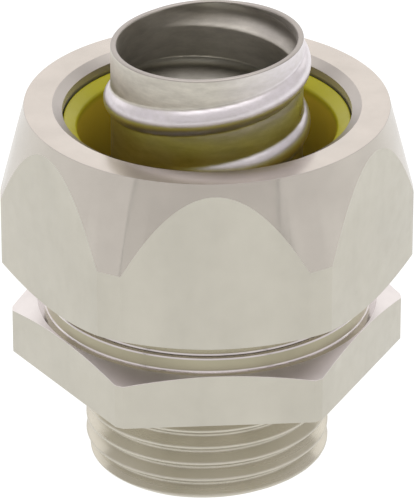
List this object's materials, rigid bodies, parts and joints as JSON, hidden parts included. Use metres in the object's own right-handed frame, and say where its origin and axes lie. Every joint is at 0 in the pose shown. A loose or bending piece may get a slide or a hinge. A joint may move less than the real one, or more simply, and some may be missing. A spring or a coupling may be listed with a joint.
{
  "type": "conduit connector",
  "caption": "Straight connector for flexible conduit: threaded hub with hexagon, cone-topped compression nut, plastic sealing ring and a ferrule with a helical bead.",
  "frame": {"origin": "centre of the spigot's end face, which the part stands on", "axes": "+Z along the bore, from the threaded spigot to the conduit; +X through two opposite corners of the hub's hexagon"},
  "size_m": [0.0336, 0.0304, 0.0371],
  "materials": {
    "hub": "nickel plated, satin turned",
    "compression_nut": "nickel plated, satin turned",
    "sealing_ring": "moulded, half gloss",
    "ferrule": "pressed and plated sheet"
  },
  "bodies": {
    "hub_set": {"hub": "hub", "ferrule": "ferrule"},
    "ring_carrier": {"sealing_ring": "sealing_ring"},
    "nut": {"compression_nut": "compression_nut"}
  },
  "joints": [
    {"name": "nut_travel", "type": "slide", "parent": "hub_set", "child": "ring_carrier", "axis": [0, 0, 1], "range_m": [0, 0.0061]},
    {"name": "nut_turn", "type": "hinge", "parent": "ring_carrier", "child": "nut", "pos_m": [0, 0, 0.024], "axis": [0, 0, 1], "range_deg": [0, 1440]}
  ],
  "couplings": [
    {"joint": "nut_travel", "follows": "nut_turn", "m_per_rad": 0.00023873}
  ]
}
